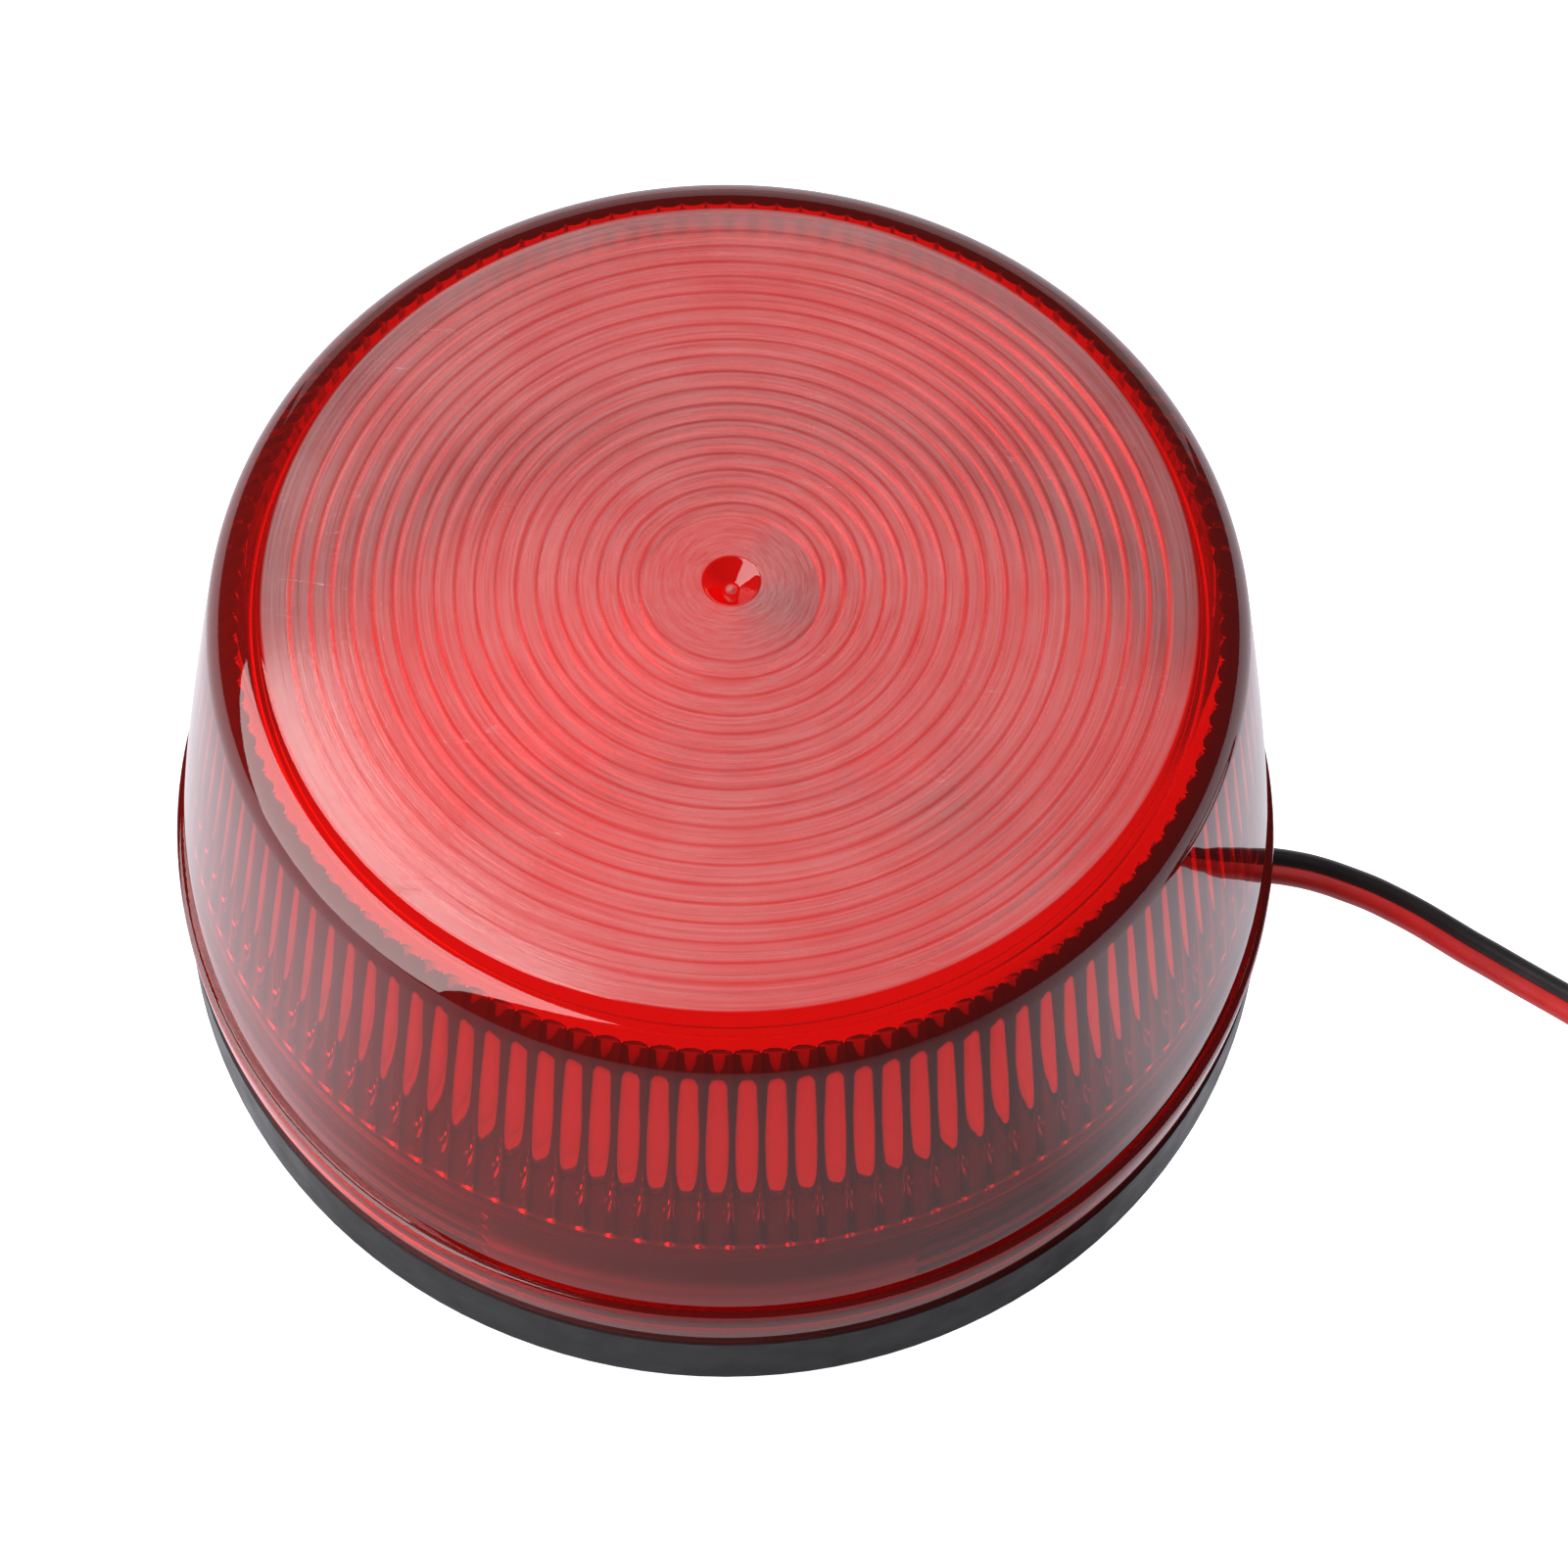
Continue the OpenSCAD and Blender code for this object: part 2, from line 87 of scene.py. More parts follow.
def add_mesh(name, points, faces, materials, face_material=None, crease=35):
    """A smooth-shaded piece, with sharp edges past the crease angle in degrees."""
    mesh = bpy.data.meshes.new(name)
    mesh.from_pydata([tuple(p) for p in np.asarray(points) * M], [], faces)
    for material in materials:
        mesh.materials.append(material)
    if face_material is not None:
        mesh.polygons.foreach_set("material_index", np.asarray(face_material, np.int32))
    mesh.polygons.foreach_set("use_smooth", np.ones(len(mesh.polygons), bool))
    mesh.set_sharp_from_angle(angle=math.radians(crease))
    mesh.update()
    piece = bpy.data.objects.new(name, mesh)
    bpy.context.scene.collection.objects.link(piece)
    return piece


def grid_faces(rows, columns, start=0):
    """Quads between rows of points that each go right round."""
    faces = []
    for i in range(rows - 1):
        a, b = start + i * columns, start + (i + 1) * columns
        faces += [(a + j, b + j, b + (j + 1) % columns, a + (j + 1) % columns) for j in range(columns)]
    return faces


def turned(name, rows, degrees, material, crease):
    """A closed piece turned about Z. Each row is a radius and a height, or an array of them round the circle,
    at these angles. It starts and ends on the axis."""
    angle = np.radians(degrees)
    columns = len(angle)
    first, last = rows[0], rows[-1]
    points = [(0, 0, first[1])]
    for radius, height in rows[1:-1]:
        r = np.broadcast_to(radius, columns)
        z = np.broadcast_to(height, columns)
        points += list(np.stack([r * np.cos(angle), r * np.sin(angle), z], 1))
    points.append((0, 0, last[1]))
    end = len(points) - 1
    ring = end - columns
    faces = [(0, 1 + j, 1 + (j + 1) % columns) for j in range(columns)]
    faces += grid_faces(len(rows) - 2, columns, 1)
    faces += [(end, ring + (j + 1) % columns, ring + j) for j in range(columns)]
    return add_mesh(name, points, faces, [material], crease=crease)


def swept(name, path, section, materials, face_material=None):
    """A flat section, its points given sideways and up, along a path that stays nearly level. Its ends are
    closed."""
    path = np.asarray(path, float)
    section = np.asarray(section, float)
    ahead = np.gradient(path, axis=0)
    ahead /= np.linalg.norm(ahead, axis=1)[:, None]
    side = np.cross((0, 0, 1), ahead)
    side /= np.linalg.norm(side, axis=1)[:, None]
    up = np.cross(ahead, side)
    around = len(section)
    points = path[:, None] + section[None, :, :1] * side[:, None] + section[None, :, 1:] * up[:, None]
    faces = [tuple(reversed(f)) for f in grid_faces(len(path), around)]
    end = (len(path) - 1) * around
    faces += [tuple(range(around)), tuple(end + j for j in reversed(range(around)))]
    if face_material is not None:
        face_material = list(face_material) * (len(path) - 1) + [0, 0]
    return add_mesh(name, points.reshape(-1, 3), faces, materials, face_material, crease=60)


def smooth_path(points, steps):
    """A Catmull-Rom curve through the points, with this many steps between each two."""
    p = np.asarray(points, float)
    p = np.vstack([2 * p[0] - p[1], p, 2 * p[-1] - p[-2]])
    out = []
    for i in range(1, len(p) - 2):
        for t in np.arange(steps) / steps:
            a, b, c, d = p[i - 1 : i + 3]
            out.append(0.5 * (2 * b + (c - a) * t + (2 * a - 5 * b + 4 * c - d) * t**2
                              + (3 * b - a - 3 * c + d) * t**3))
    out.append(p[-2])
    return np.array(out)


# ---------------------------------------------------------------- material helpers


class Surface:
    """A material with one Principled shader, and short calls to add nodes to it."""

    def __init__(self, name, **values):
        self.material = bpy.data.materials.new(name)
        self.material.use_nodes = True
        self.tree = self.material.node_tree
        self.tree.nodes.clear()
        self.output = self.tree.nodes.new("ShaderNodeOutputMaterial")
        self.shader = self.tree.nodes.new("ShaderNodeBsdfPrincipled")
        self.link(self.shader.outputs[0], self.output.inputs["Surface"])
        for key, value in values.items():
            self.set(key, value)

    def link(self, a, b):
        self.tree.links.new(a, b)

    def set(self, socket, value):
        socket = self.shader.inputs[socket.replace("_", " ")]
        if isinstance(value, bpy.types.NodeSocket):
            self.link(value, socket)
        elif isinstance(value, tuple):
            socket.default_value = value + (1,)
        else:
            socket.default_value = value

    def node(self, kind, inputs=None, **settings):
        node = self.tree.nodes.new("ShaderNode" + kind)
        for key, value in settings.items():
            setattr(node, key, value)
        for key, value in (inputs or {}).items():
            if isinstance(value, bpy.types.NodeSocket):
                self.link(value, node.inputs[key])
            else:
                node.inputs[key].default_value = value
        return node

    def math(self, operation, a, b=0.0, clamp=False):
        return self.node("Math", {0: a, 1: b}, operation=operation, use_clamp=clamp).outputs[0]

    def place(self):
        """The point on the surface in metres, in the piece's own frame."""
        return self.node("TexCoord").outputs["Object"]

    def noise(self, scale, detail=3.0, roughness=0.5, vector=None):
        inputs = {"Scale": scale, "Detail": detail, "Roughness": roughness, "Vector": vector or self.place()}
        return self.node("TexNoise", inputs).outputs[0]

    def between(self, factor, low, high, from_low=0.3, from_high=0.7):
        """A number that goes from low to high as the factor goes over the given range."""
        inputs = {0: factor, 1: from_low, 2: from_high, 3: low, 4: high}
        return self.node("MapRange", inputs).outputs[0]

    def blend(self, factor, a, b):
        """A colour between a and b."""
        node = self.node("Mix", data_type="RGBA")
        self.link(factor, node.inputs[0])
        for value, key in ((a, 6), (b, 7)):
            if isinstance(value, bpy.types.NodeSocket):
                self.link(value, node.inputs[key])
            else:
                node.inputs[key].default_value = value + (1,)
        return node.outputs[2]

    def bump(self, height, distance, strength=1.0):
        inputs = {"Height": height, "Distance": distance, "Strength": strength}
        self.set("Normal", self.node("Bump", inputs).outputs[0])

    def radius(self):
        """Distance from the Z axis, in millimetres."""
        split = self.node("SeparateXYZ", {0: self.place()})
        square = self.math("ADD", self.math("POWER", split.outputs[0], 2.0),
                           self.math("POWER", split.outputs[1], 2.0))
        return self.math("MULTIPLY", self.math("SQRT", square), 1000.0)

    def height(self):
        split = self.node("SeparateXYZ", {0: self.place()})
        return self.math("MULTIPLY", split.outputs[2], 1000.0)


def moulded(name, color, roughness=0.4, shift=0.15, **values):
    """Moulded plastic or rubber: faint mottling, uneven gloss and a fine grain."""
    s = Surface(name, **values)
    darker = tuple(c * (1 - shift) for c in color)
    lighter = tuple(min(1.0, c * (1 + shift)) for c in color)
    s.set("Base Color", s.blend(s.between(s.noise(180.0, 4.0), 0.0, 1.0), darker, lighter))
    s.set("Roughness", s.between(s.noise(420.0, 5.0), roughness * 0.85, min(1.0, roughness * 1.2)))
    s.bump(s.noise(2500.0), 0.01 * M)
    return s.material


def metal(name, color, roughness=0.3):
    """Plated or drawn metal with fine wear."""
    s = Surface(name, Metallic=1.0)
    dull = tuple(c * 0.72 for c in color)
    s.set("Base Color", s.blend(s.between(s.noise(900.0, 4.0), 0.0, 1.0), dull, color))
    s.set("Roughness", s.between(s.noise(1500.0, 5.0), roughness * 0.7, roughness * 1.4))
    s.bump(s.noise(3500.0, 2.0), 0.006 * M)
    return s.material


# ---------------------------------------------------------------- the dome's sizes

DOME_LOW, DOME_HIGH = (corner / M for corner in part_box("dome"))
RIM_R = DOME_HIGH.x
RIM_Z = DOME_LOW.z
TOP_Z = DOME_HIGH.z
TOP_T = 2.0
UNDER_Z = TOP_Z - TOP_T
# the flat top, with a fine step round its turned disc and a pit with a nub at its centre
DISC_EDGE_R = 27.1
TOP_FLAT_R = 27.6
PIT_R = 1.74
PIT_DEPTH = 0.9
NUB_R = 0.3
# rings under the top: a groove, then a bead just inside it
RINGS = 18
RING_START_R = 5.36
RING_PITCH = 1.18
RING_DEPTH = 0.15
RING_BEAD = 0.14
EDGE_RIDGE_R = 27.78
EDGE_GROOVE_R = 27.41
LAST_RING_R = RING_START_R + (RINGS - 1) * RING_PITCH
# the round shoulder, which ends where the wall leaves it
SHOULDER_R = 3.0
SHOULDER_END = 14.3
WALL_BOW = 0.14
# the wall's foot stands back from the rim by a narrow step
STEP_Z = 10.4
FOOT_SETBACK = 0.5
# flutes inside the wall, whose ribs lean in as they rise
FLUTES = 120
# where the mesh has a column in each flute, as shares of its width, closest at the cusp
FLUTE_COLUMNS = (0, 0.1, 0.34, 0.66, 0.9)
FLUTE_DEPTH = 0.17
FLUTE_TOP_DEPTH = 0.3
RIB_FLATNESS = 0.4
FLUTE_FOOT_R = 31.9
FLUTE_FOOT_Z = 15.5
FLUTE_LEAN = 3.4 / 18.4
# the bore with its thread, and the seal ring's groove in the rim's lower face
BORE_R = 32.9
BORE_TOP = 15.2
BORE_CHAMFER_IN = 0.36
BORE_CHAMFER_UP = 0.6
THREAD_CREST_R = 32.3
THREAD_Z = 8.65
THREAD_PITCH = 1.5
THREAD_RIDGES = 4
SEGMENTS = 4
SEGMENT_ANGLE = 45
GROOVE_INNER_R = 33.7
GROOVE_OUTER_R = 35.2
GROOVE_TOP = 7.05

# ---------------------------------------------------------------- the dome's material

# the dome's plastic lets through nearly all red and little else
ABSORPTION = (0.962, 0.13, 0.0)
ABSORPTION_DENSITY = 1500.0
POLYCARBONATE_IOR = 1.585
POLISH = 0.015
DISC_WHITE = 0.11
WALL_HAZE = 0.05
WALL_TINT = (1.0, 0.03, 0.02)
UNDER_ROUGHNESS = 0.27
BORE_ROUGHNESS = 0.22
# painted shade: how much fainter the haze is made above a ring, standing in for the dark lines that the rings
# under the top show through it, and how far from the ring's middle that starts and stops to fade
RING_PAINTED_SHADE = 0.6
RING_PAINTED_SHADE_FROM = 0.03
RING_PAINTED_SHADE_TO = 0.18


def let_lamps_through(s):
    """Rays from lamps go straight through, so that what is inside is lit."""
    clear = s.node("BsdfTransparent")
    is_lamp_ray = s.node("LightPath").outputs["Is Shadow Ray"]
    mix = s.node("MixShader", {0: is_lamp_ray, 1: s.shader.outputs[0], 2: clear.outputs[0]})
    s.link(mix.outputs[0], s.output.inputs["Surface"])


def disc_mask(s, radius, height):
    """1 on the turned disc and on the nub at its centre, and 0 elsewhere."""
    inside = s.between(radius, 1.0, 0.0, DISC_EDGE_R - 0.12, DISC_EDGE_R + 0.02)
    outside = s.between(radius, 0.0, 1.0, PIT_R - 0.06, PIT_R + 0.04)
    upper = s.between(height, 0.0, 1.0, TOP_Z - 0.2, TOP_Z - 0.1)
    nub = s.between(radius, 1.0, 0.0, NUB_R, NUB_R + 0.06)
    return s.math("MAXIMUM", s.math("MULTIPLY", s.math("MULTIPLY", inside, outside), upper), nub)


def turning_marks(s, radius):
    """Noise that changes fast outwards and slowly round the circle."""
    split = s.node("SeparateXYZ", {0: s.place()})
    angle = s.math("ARCTAN2", split.outputs[1], split.outputs[0])
    across = s.node("CombineXYZ", {0: s.math("MULTIPLY", radius, 9.0),
                                   1: s.math("MULTIPLY", s.math("SINE", angle), 2.5),
                                   2: s.math("MULTIPLY", s.math("COSINE", angle), 2.5)}).outputs[0]
    return s.noise(1.0, 3.0, 0.6, across)


def stray_scratches(s):
    """Thin crests of a stretched noise, kept in a few patches."""
    stretched = s.node("Mapping", {"Vector": s.place(), "Rotation": (0, 0, 0.6), "Scale": (60, 900, 60)})
    crest = s.math("ABSOLUTE", s.math("SUBTRACT", s.noise(1.6, 2.0, 0.4, stretched.outputs[0]), 0.5))
    rare = s.between(s.noise(210.0, 2.0), 0.0, 1.0, 0.6, 0.66)
    return s.math("MULTIPLY", s.between(crest, 1.0, 0.0, 0.0, 0.006), rare)


def painted_ring_lines(s, radius):
    """Painted shade: lines above the rings under the top, where the haze is made fainter to stand in for the
    dark lines that the rings show through the top.
    """
    apart = s.math("PINGPONG", s.math("SUBTRACT", radius, RING_START_R), RING_PITCH / 2)
    line = s.between(apart, RING_PAINTED_SHADE, 0.0, RING_PAINTED_SHADE_FROM, RING_PAINTED_SHADE_TO)
    inner = s.between(radius, 0.0, 1.0, RING_START_R - 0.4, RING_START_R - 0.3)
    outer = s.between(radius, 1.0, 0.0, LAST_RING_R + 0.4, LAST_RING_R + 0.5)
    return s.math("MULTIPLY", line, s.math("MULTIPLY", inner, outer))


def dome_roughness(s, radius, height, disc, mottle):
    """The disc is a little rough, the finely textured underside and the bore more so."""
    under = s.math("MULTIPLY", s.between(height, 0.0, 1.0, UNDER_Z - 0.3, UNDER_Z - 0.2),
                   s.between(height, 1.0, 0.0, UNDER_Z + 0.5, UNDER_Z + 0.6))
    under = s.math("MULTIPLY", under, s.between(radius, 1.0, 0.0, TOP_FLAT_R + 0.3, TOP_FLAT_R + 0.4))
    bore = s.math("MULTIPLY", s.between(height, 1.0, 0.0, BORE_TOP + 0.5, BORE_TOP + 0.7),
                  s.between(radius, 1.0, 0.0, BORE_R + 0.2, BORE_R + 0.3))
    rough = s.math("MULTIPLY", disc, s.between(mottle, 0.1, 0.16))
    rough = s.math("ADD", rough, s.math("MULTIPLY", under, UNDER_ROUGHNESS))
    rough = s.math("ADD", rough, s.math("MULTIPLY", bore, BORE_ROUGHNESS))
    return s.math("ADD", rough, POLISH)


def dome_material():
    """Red polycarbonate, polished except on the turned top, which has fine rings, stray scratches and painted
    shade lines over the rings under it.
    """
    s = Surface("red_polycarbonate", IOR=POLYCARBONATE_IOR)
    radius = s.radius()
    height = s.height()
    disc = disc_mask(s, radius, height)
    marks = turning_marks(s, radius)
    scratch = stray_scratches(s)
    mottle = s.noise(120.0, 5.0, 0.65)
    haze = s.math("ADD", s.between(marks, 0.5, 1.1), s.between(mottle, -0.12, 0.18))
    haze = s.math("ADD", haze, s.math("MULTIPLY", scratch, 0.6))
    # painted shade: the haze is dimmed along lines over the rings under the top
    haze = s.math("MULTIPLY", haze, s.math("SUBTRACT", 1.12, painted_ring_lines(s, radius)))
    white = s.math("MULTIPLY", s.math("MULTIPLY", disc, haze), DISC_WHITE)
    red = s.math("MULTIPLY", s.math("SUBTRACT", 1.0, disc), WALL_HAZE)
    s.set("Transmission Weight", s.math("SUBTRACT", 1.0, s.math("ADD", white, red), clamp=True))
    s.set("Base Color", s.blend(disc, WALL_TINT, (1.0, 1.0, 1.0)))
    s.set("Roughness", dome_roughness(s, radius, height, disc, mottle))
    relief = s.math("MULTIPLY", disc, s.math("ADD", marks, s.math("MULTIPLY", scratch, -1.0)))
    s.bump(relief, 0.03 * M, 0.5)
    volume = s.node("VolumeAbsorption", {"Color": ABSORPTION + (1,), "Density": ABSORPTION_DENSITY})
    s.link(volume.outputs[0], s.output.inputs["Volume"])
    let_lamps_through(s)
    return s.material


# ---------------------------------------------------------------- the CAD nodes' materials


def glass_material(name, color, clearness):
    """Glass with a thin milky coat, which takes away some of its clearness."""
    s = Surface(name, IOR=1.46)
    s.set("Transmission Weight", s.between(s.noise(300.0), clearness * 0.8, clearness))
    s.set("Base Color", color)
    s.set("Roughness", s.between(s.noise(700.0), 0.0, 0.05))
    let_lamps_through(s)
    return s.material


RED_PVC = moulded("red_pvc", (0.55, 0.02, 0.02), 0.35)
BLACK_PVC = moulded("black_pvc", (0.018, 0.018, 0.02), 0.35)
TINNED = metal("tinned_copper", (0.75, 0.7, 0.62), 0.35)
NODE_MATERIALS = {
    "base": moulded("black_abs", (0.016, 0.016, 0.017), 0.4, Specular_IOR_Level=0.4),
    "seal_ring": moulded("black_rubber", (0.02, 0.02, 0.02), 0.7),
    "reflector": moulded("white_styrene", (0.72, 0.72, 0.7), 0.3, shift=0.03),
    "circuit_board": moulded("board_laminate", (0.5, 0.32, 0.13), 0.5),
    "board_screws": metal("zinc_steel", (0.7, 0.7, 0.72), 0.3),
    "flash_tube": glass_material("tube_glass", (0.96, 0.98, 1.0), 0.25),
    "tube_caps": metal("cap_nickel", (0.85, 0.83, 0.8), 0.5),
    "tube_leads": metal("nickel_wire", (0.72, 0.7, 0.66), 0.3),
    "trigger_wire": metal("trigger_nickel", (0.72, 0.7, 0.66), 0.3),
    "trigger_core": moulded("ferrite", (0.3, 0.3, 0.31), 0.5),
    "trigger_winding": moulded("orange_tape", (0.85, 0.25, 0.03), 0.3),
    "transformer_core": moulded("core_ferrite", (0.06, 0.06, 0.065), 0.5),
    "transformer_bobbin": moulded("cream_nylon", (0.8, 0.72, 0.5), 0.45),
    "transformer_winding": moulded("yellow_tape", (0.85, 0.55, 0.05), 0.3),
    "flash_capacitor": moulded("capacitor_sleeve", (0.02, 0.03, 0.14), 0.25),
    "film_capacitor": moulded("ochre_epoxy", (0.5, 0.24, 0.04), 0.3),
    "timing_capacitor": moulded("timing_sleeve", (0.02, 0.05, 0.2), 0.25),
    "switching_transistor": moulded("black_epoxy", (0.02, 0.02, 0.02), 0.45),
    "thyristor": moulded("thyristor_epoxy", (0.02, 0.02, 0.02), 0.45),
    "rectifier_diodes": moulded("diode_epoxy", (0.02, 0.02, 0.02), 0.35),
    "resistors": moulded("tan_lacquer", (0.62, 0.45, 0.24), 0.35),
    "solder_joints": metal("solder", (0.7, 0.7, 0.7), 0.2),
    "inner_lead_red": RED_PVC,
    "inner_lead_black": BLACK_PVC,
    "strain_grommet": moulded("grommet_rubber", (0.02, 0.02, 0.02), 0.6),
    "lead_tie": moulded("white_nylon", (0.75, 0.75, 0.72), 0.4),
}


def dress_nodes():
    for name, material in NODE_MATERIALS.items():
        for slot in NODES[name].material_slots:
            slot.material = material


dress_nodes()

# ---------------------------------------------------------------- the lead

STRAND_D = 1.3
WEB_HALF = 0.22
# the route from the grommet, repeated from the CAD, then a coil of level turns, then two split tails
ROUTE = [(28.2, 0, 3), (32, 0, 3), (36.5, 0, 3), (38.8, -0.2, 2.95), (40.5, -0.5, 2.8), (42.2, -0.9, 2.5),
         (43.9, -1.35, 2.15), (45.6, -1.95, 1.75), (47.3, -2.65, 1.35), (49, -3.5, 1), (50.6, -4.4, 0.8),
         (52.3, -5.35, 0.7), (53.9, -6.3, 0.65), (55.5, -7.25, 0.65), (57.1, -8.2, 0.65),
         (59.6, -9.75, 0.65), (62.1, -11.4, 0.65), (64.7, -13.1, 0.7), (67.2, -14.7, 0.75),
         (69.6, -16.2, 0.8), (72.2, -17.5, 0.85)]
COIL_CENTRE = np.array((78.6, -3.2))
COIL_Z = 0.85
COIL_OUTER_R = 15.7
COIL_TURNS = 2
COIL_PITCH = 2.7
COIL_START = -114
COIL_STEPS = 130
TAIL_RUN = 9
TAIL_TUCK = 0.1
TIP_RUN = 5
TIP_TUCK = 0.5
TIP_R = 0.35
# each strand's colour, its side of the lead's middle, its tail's bend and its material
STRANDS = (("red", -1, 8.5, RED_PVC), ("black", 1, 5.5, BLACK_PVC))


def coil_path():
    """Level turns, each inside the one before."""
    turn = np.linspace(0, COIL_TURNS, COIL_STEPS)
    angle = np.radians(COIL_START + 360 * turn)
    radius = COIL_OUTER_R - COIL_PITCH * turn
    x = COIL_CENTRE[0] + radius * np.cos(angle)
    y = COIL_CENTRE[1] + radius * np.sin(angle)
    return np.stack([x, y, np.full(COIL_STEPS, COIL_Z)], 1)


def tail_path(side, bend, start, end, steps):
    """A split tail leaves the end of the coil's inner turn and curls inwards."""
    angle = math.radians(COIL_START)
    out = np.array((math.cos(angle), math.sin(angle)))
    inner_r = COIL_OUTER_R - COIL_TURNS * COIL_PITCH
    centre = COIL_CENTRE + out * (inner_r - side * STRAND_D / 2 - bend)
    turn = angle + np.linspace(start, end, steps) / bend
    return np.stack([centre[0] + bend * np.cos(turn), centre[1] + bend * np.sin(turn),
                     np.full(steps, COIL_Z)], 1)


def round_section(radius):
    """A wire's outline."""
    angle = np.radians(np.arange(0, 360, 22.5))
    return np.stack([radius * np.cos(angle), radius * np.sin(angle)], 1)


def twin_section():
    """Two round strands joined by a thin web, and which strand each side of the outline is on."""
    r = STRAND_D / 2
    reach = math.pi - math.asin(WEB_HALF / r)
    lobe = np.linspace(-reach, reach, 13)
    left = np.stack([r + r * np.cos(lobe), r * np.sin(lobe)], 1)
    right = np.stack([-r - r * np.cos(lobe), -r * np.sin(lobe)], 1)
    strand = [0] * len(lobe) + [1] * len(lobe)
    return np.vstack([left, right]), strand


def make_lead():
    route = smooth_path(ROUTE, 5)
    path = np.vstack([route[:-1], coil_path()])
    section, strand = twin_section()
    lead = swept("twin_lead", path, section, [BLACK_PVC, RED_PVC], strand)
    tails = []
    for color, side, bend, material in STRANDS:
        tail = tail_path(side, bend, -TAIL_TUCK, TAIL_RUN, 24)
        tails.append(swept("tail_" + color, tail, round_section(STRAND_D / 2), [material]))
    tips = []
    for color, side, bend, _ in STRANDS:
        tip = tail_path(side, bend, TAIL_RUN - TIP_TUCK, TAIL_RUN + TIP_RUN, 14)
        tips.append(swept("tip_" + color, tip, round_section(TIP_R), [TINNED]))
    for piece in [lead] + tails + tips:
        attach(piece, "base")
    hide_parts("lead", "lead_coil")
    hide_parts("lead_tail_red")
    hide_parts("lead_tail_black")
    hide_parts("lead_tips")


make_lead()

# ---------------------------------------------------------------- the dome


def column_angles():
    share = np.arange(FLUTES)[:, None] + np.array(FLUTE_COLUMNS)
    return 360 * share.ravel() / FLUTES


def thread_rows():
    """Rows that follow the thread's helix, so that each ridge keeps its section, and drop back to the start
    in the plain window at angle 0."""
    angle = column_angles()
    window = (360 / SEGMENTS - SEGMENT_ANGLE) / 2
    climb = THREAD_PITCH * angle / 360
    before = angle < window
    after = angle > 360 - window
    fall = (360 - 2 * window) / (2 * window)
    climb[before] = THREAD_PITCH / 2 - THREAD_PITCH * fall * angle[before] / 360
    climb[after] = THREAD_PITCH / 2 + THREAD_PITCH * fall * (360 - angle[after]) / 360
    inside = np.abs((angle % (360 / SEGMENTS)) - 180 / SEGMENTS) <= SEGMENT_ANGLE / 2 + 0.01
    # one ridge's section: height from its middle, and share of the way from root to crest
    ridge = [(-0.42, 0), (-0.2, 0.94), (-0.14, 1), (0.14, 1), (0.2, 0.94), (0.42, 0)]
    rows = []
    for turn in range(THREAD_RIDGES):
        for z, share in ridge:
            radius = BORE_R + (THREAD_CREST_R - BORE_R) * share * inside
            rows.append((radius, THREAD_Z + THREAD_PITCH * turn + z + climb))
    return rows


def flute_row(z, depth=FLUTE_DEPTH):
    """One row of the fluted wall inside: round ribs that meet in sharp grooves."""
    phase = (column_angles() * FLUTES / 360) % 1
    scale = 1 - (z - FLUTE_FOOT_Z) * FLUTE_LEAN / FLUTE_FOOT_R
    rib = np.sin(math.pi * phase) ** RIB_FLATNESS
    return ((FLUTE_FOOT_R + depth * (1 - rib)) * scale, z)


def top_rows():
    """From the nub in the pit to the shoulder's end."""
    pit = TOP_Z - PIT_DEPTH
    centre_z = TOP_Z - SHOULDER_R
    rows = [(0, pit + 0.24), (0.12, pit + 0.22), (0.24, pit + 0.12), (NUB_R, pit)]
    rows += [(0.5, pit), (0.6, pit + 0.06), (1.5, TOP_Z - 0.12), (1.62, TOP_Z - 0.03)]
    rows += [(r, TOP_Z) for r in (PIT_R, 9, 18, DISC_EDGE_R)]
    rows += [(DISC_EDGE_R + 0.06, TOP_Z - 0.03), (DISC_EDGE_R + 0.2, TOP_Z - 0.03)]
    shoulder = np.radians(np.linspace(4, 90 - SHOULDER_END, 12))
    return rows + [(TOP_FLAT_R + SHOULDER_R * math.sin(a), centre_z + SHOULDER_R * math.cos(a))
                   for a in shoulder]


def wall_rows(head):
    """Down the slightly bowed wall, over the step and round the rim to its inner edge."""
    head = np.array(head)
    foot = np.array((RIM_R - FOOT_SETBACK, STEP_Z + 0.3))
    rows = []
    for share in np.arange(1, 7) / 6:
        bow = 4 * WALL_BOW * share * (1 - share)
        rows.append(tuple(head + (foot - head) * share + (bow, 0)))
    rows += [(RIM_R - 0.52, STEP_Z + 0.06), (RIM_R - 0.46, STEP_Z), (RIM_R - 0.28, STEP_Z),
             (RIM_R - 0.16, STEP_Z - 0.06), (RIM_R - 0.06, STEP_Z - 0.3), (RIM_R - 0.02, STEP_Z - 0.8),
             (RIM_R, STEP_Z - 2)]
    rows += [(RIM_R, RIM_Z + 0.2), (RIM_R - 0.06, RIM_Z + 0.06), (RIM_R - 0.2, RIM_Z)]
    rows += [(GROOVE_OUTER_R, RIM_Z), (GROOVE_OUTER_R, GROOVE_TOP),
             (GROOVE_INNER_R, GROOVE_TOP), (GROOVE_INNER_R, RIM_Z)]
    return rows


